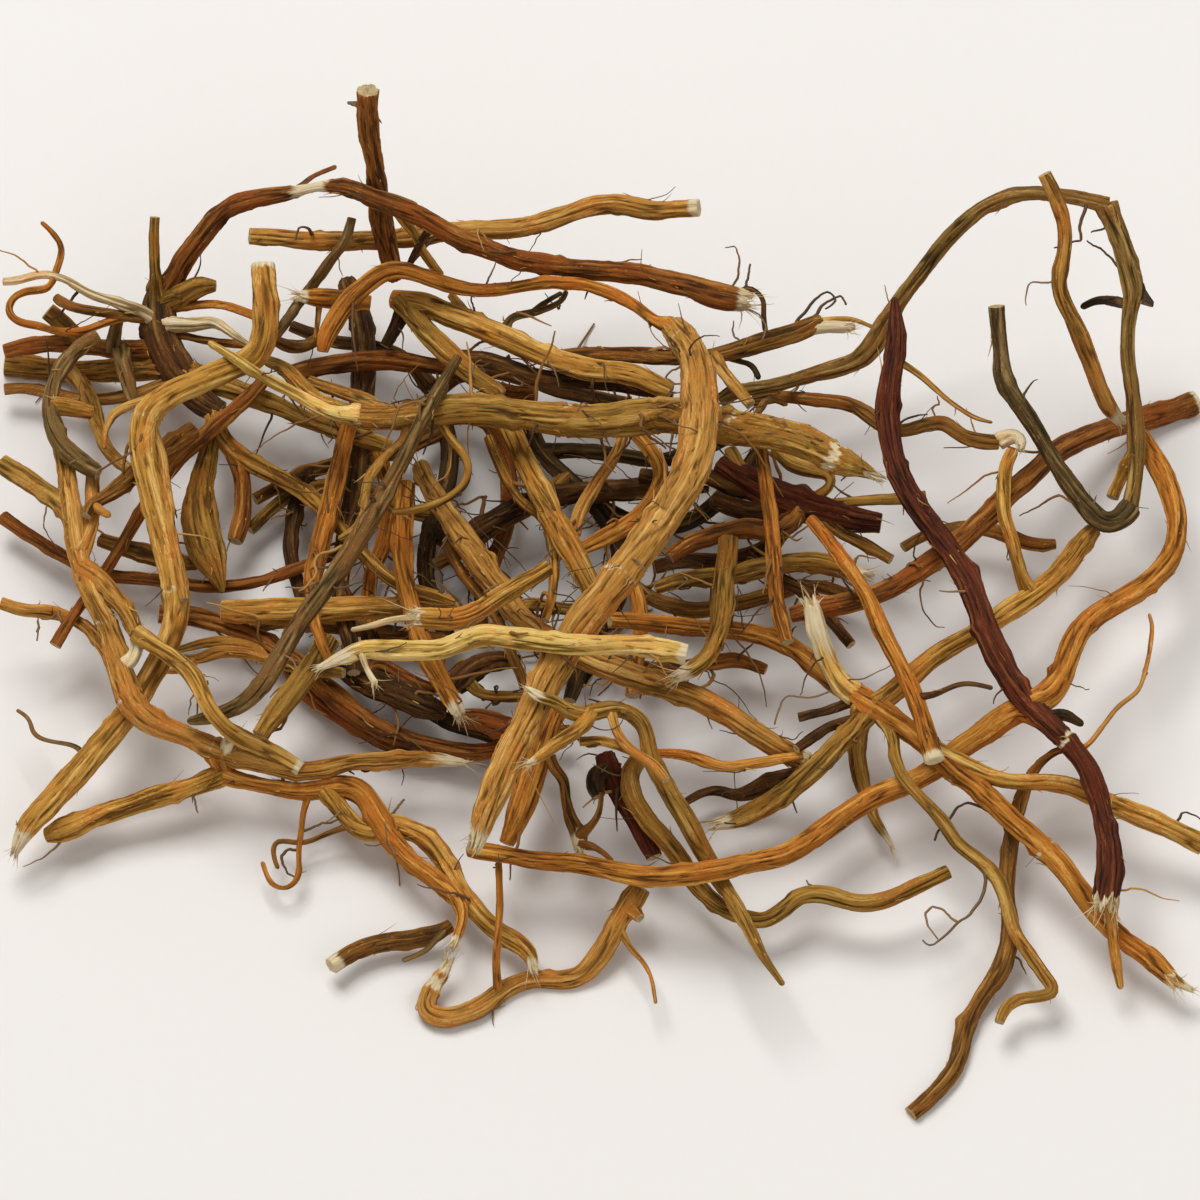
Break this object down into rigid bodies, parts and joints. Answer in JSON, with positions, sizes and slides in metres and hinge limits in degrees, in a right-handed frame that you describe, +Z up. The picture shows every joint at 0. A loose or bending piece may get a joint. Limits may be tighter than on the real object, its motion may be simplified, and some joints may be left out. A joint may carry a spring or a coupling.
{
  "type": "sarsaparilla root",
  "caption": "Tangled bundle of dried wiry roots with knotty crowns, thin rootlets and cut ends, lying flat as one rigid piece.",
  "frame": {"origin": "middle of the bundle's footprint, on the table under it", "axes": "+X along the bundle's greatest width, +Y away from the eye, +Z up from the table"},
  "size_m": [0.2413, 0.2075, 0.0763],
  "materials": {
    "black_bark": "dry black-brown bark",
    "brown_bark": "dry brown bark",
    "dark_bark": "dry dark brown bark",
    "darkred_bark": "dry dark red bark",
    "gold_bark": "dry golden bark",
    "grey_bark": "dry grey-brown bark",
    "olive_bark": "dry olive-brown bark",
    "orange_bark": "dry orange-brown bark",
    "redbrown_bark": "dry red-brown bark",
    "straw_bark": "dry pale straw bark",
    "tan_bark": "dry tan bark"
  },
  "bodies": {
    "root": {"left_crown": "dark_bark", "elbow_root": "tan_bark", "left_runner": "orange_bark", "curved_tan_root": "grey_bark", "dark_diagonal": "redbrown_bark", "knob_diagonal": "brown_bark", "dark_low_left": "dark_bark", "long_thin_root": "redbrown_bark", "fibrous_root": "olive_bark", "broad_under_stick": "olive_bark", "gold_level_root": "gold_bark", "back_runner": "redbrown_bark", "grey_stick": "grey_bark", "left_upright": "orange_bark", "dark_upright": "dark_bark", "red_level_root": "redbrown_bark", "short_level_root": "orange_bark", "dark_knot_root": "dark_bark", "fuzzy_knot": "dark_bark", "speckled_root": "orange_bark", "red_stub": "redbrown_bark", "main_root": "olive_bark", "thick_root": "tan_bark", "gold_root": "gold_bark", "pale_root": "straw_bark", "gold_short_root": "gold_bark", "olive_diagonal": "gold_bark", "thin_olive": "gold_bark", "dark_curved_root": "dark_bark", "broad_olive_root": "olive_bark", "thin_cross_root": "brown_bark", "back_upright": "orange_bark", "orange_short": "orange_bark", "tan_upright": "tan_bark", "white_tipped_root": "olive_bark", "wavy_root": "olive_bark", "dark_short_root": "darkred_bark", "under_thick_root": "orange_bark", "knotted_twig": "brown_bark", "orange_level_thin": "orange_bark", "bottom_loop": "tan_bark", "short_low_root": "brown_bark", "dark_red_root": "darkred_bark", "right_crown": "orange_bark", "centre_crown": "darkred_bark", "olive_level_root": "olive_bark", "orange_slant": "orange_bark", "slanted_red_root": "redbrown_bark", "tan_thin_upright": "orange_bark", "ragged_olive_root": "olive_bark", "brown_bridge": "brown_bark", "low_side_root": "brown_bark", "black_root": "black_bark", "tan_right_root": "tan_bark", "split_stick": "brown_bark", "upright_stick": "redbrown_bark", "tan_cut_root": "tan_bark", "under_left": "dark_bark", "under_middle": "dark_bark"}
  },
  "joints": []
}
